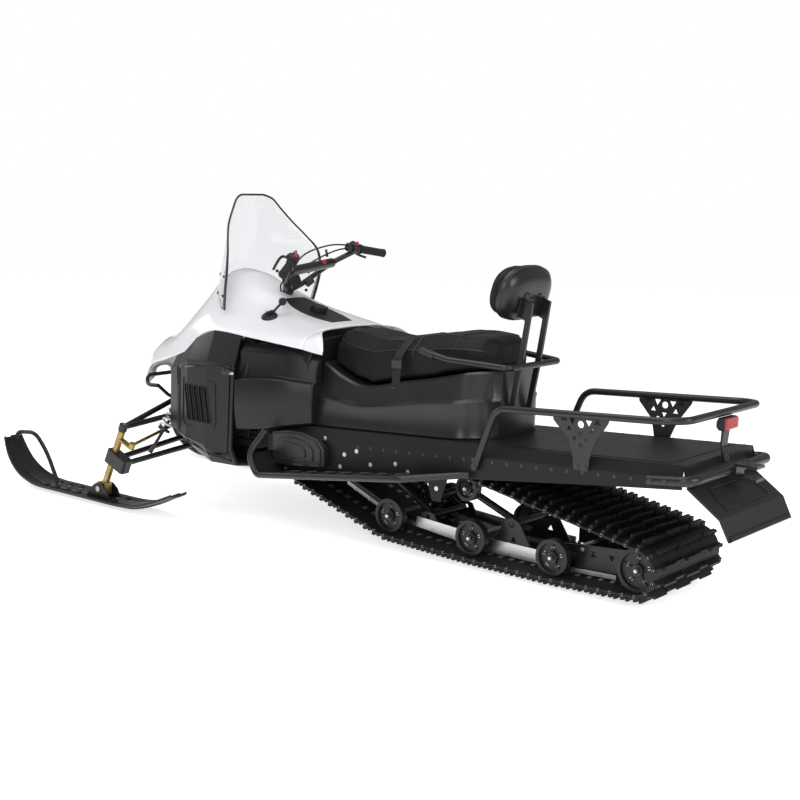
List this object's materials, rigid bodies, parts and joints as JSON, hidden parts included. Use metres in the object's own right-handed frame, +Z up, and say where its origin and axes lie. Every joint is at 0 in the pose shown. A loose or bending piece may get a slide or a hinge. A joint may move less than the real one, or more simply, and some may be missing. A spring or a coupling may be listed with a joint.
{
  "type": "utility snowmobile",
  "caption": "Wide-track utility snowmobile with steered skis on A-arms, two-place seat with backrest, cargo deck with rail, and tow hitch.",
  "frame": {"origin": "on the floor under the centre of the machine's length and width", "axes": "+X forward, +Y to the machine's left, +Z up"},
  "size_m": [3.37, 1.15, 1.316],
  "materials": {
    "black_plastic": "satin black moulded",
    "black_steel": "satin black",
    "cap_plastic": "black",
    "clear_sheet": "clear polycarbonate",
    "damper_metal": "pale coil spring and dark body",
    "engine_casting": "cast",
    "flap_rubber": "moulded",
    "grip_rubber": "soft",
    "rail_aluminium": "bright extruded",
    "red_lens": "red lens",
    "seat_vinyl": "black coated fabric",
    "ski_plastic": "black moulded",
    "track_rubber": "moulded rubber",
    "tunnel_paint": "satin black powder coat",
    "wheel_plastic": "black moulded",
    "white_gloss": "glossy white",
    "yellow_zinc": "yellow zinc plated",
    "zinc_steel": "zinc plated"
  },
  "bodies": {
    "chassis": {"backrest_pad": "seat_vinyl", "backrest_posts": "black_steel", "backrest_shell": "black_plastic", "cargo_rail": "black_steel", "drive_sprockets": "wheel_plastic", "engine_block": "engine_casting", "front_dampers": "damper_metal", "front_frame": "black_steel", "fuel_cap": "cap_plastic", "gear_lever": "cap_plastic", "grab_bar": "black_steel", "hood": "white_gloss", "lower_arms": "black_steel", "lower_cowl": "black_plastic", "rear_bumper": "black_steel", "running_board_left": "black_steel", "running_board_right": "black_steel", "seat_base": "black_plastic", "seat_cushion": "seat_vinyl", "side_pod_left": "black_plastic", "side_pod_right": "black_plastic", "skid_arms": "black_steel", "slide_rails": "rail_aluminium", "snow_flap": "flap_rubber", "suspension_axles": "zinc_steel", "tail_lamp": "red_lens", "tow_hitch": "black_steel", "track": "track_rubber", "track_wheels": "wheel_plastic", "tunnel": "tunnel_paint", "upper_arms": "black_steel", "windshield": "clear_sheet"},
    "left_door": {"access_door_left": "black_plastic"},
    "right_door": {"access_door_right": "black_plastic"},
    "steering_bars": {"handlebar": "black_steel", "handlebar_grips": "grip_rubber"},
    "left_ski": {"ski_left": "ski_plastic"},
    "right_ski": {"ski_right": "ski_plastic"},
    "left_spindle": {"spindle_left": "yellow_zinc"},
    "right_spindle": {"spindle_right": "yellow_zinc"},
    "left_tie_rod": {"tie_rod_left": "yellow_zinc"},
    "right_tie_rod": {"tie_rod_right": "yellow_zinc"}
  },
  "joints": [
    {"name": "steering", "type": "hinge", "parent": "chassis", "child": "steering_bars", "pos_m": [0.503, 0, 0.88], "axis": [-0.5446, 0, 0.8387], "range_deg": [-30, 30]},
    {"name": "left_ski_steer", "type": "hinge", "parent": "chassis", "child": "left_spindle", "pos_m": [1.057, 0.5, 0.062], "axis": [-0.3896, 0, 0.921], "range_deg": [-25.6, 25.6]},
    {"name": "left_tie_rod_pivot", "type": "hinge", "parent": "left_spindle", "child": "left_tie_rod", "pos_m": [0.89056, 0.5, 0.25521], "axis": [-0.3896, 0, 0.921], "range_deg": [-25.6, 25.6]},
    {"name": "left_ski_rock", "type": "hinge", "parent": "left_spindle", "child": "left_ski", "pos_m": [1.057, 0.5, 0.062], "axis": [0, 1, 0], "range_deg": [-9, 9]},
    {"name": "left_door_hinge", "type": "hinge", "parent": "chassis", "child": "left_door", "pos_m": [0.7666, 0.351, 0.4725], "axis": [-0.0774, 0.0235, -0.9967], "range_deg": [0, 70]},
    {"name": "right_ski_steer", "type": "hinge", "parent": "chassis", "child": "right_spindle", "pos_m": [1.057, -0.5, 0.062], "axis": [-0.3896, 0, 0.921], "range_deg": [-25.6, 25.6]},
    {"name": "right_tie_rod_pivot", "type": "hinge", "parent": "right_spindle", "child": "right_tie_rod", "pos_m": [0.89056, -0.5, 0.25521], "axis": [-0.3896, 0, 0.921], "range_deg": [-25.6, 25.6]},
    {"name": "right_ski_rock", "type": "hinge", "parent": "right_spindle", "child": "right_ski", "pos_m": [1.057, -0.5, 0.062], "axis": [0, 1, 0], "range_deg": [-9, 9]},
    {"name": "right_door_hinge", "type": "hinge", "parent": "chassis", "child": "right_door", "pos_m": [0.7666, -0.351, 0.4725], "axis": [0.0774, 0.0235, 0.9967], "range_deg": [0, 70]}
  ],
  "couplings": [
    {"joint": "left_ski_steer", "follows": "steering", "ratio": 0.85},
    {"joint": "right_ski_steer", "follows": "steering", "ratio": 0.85},
    {"joint": "left_tie_rod_pivot", "follows": "steering", "ratio": -0.85},
    {"joint": "right_tie_rod_pivot", "follows": "steering", "ratio": -0.85}
  ]
}
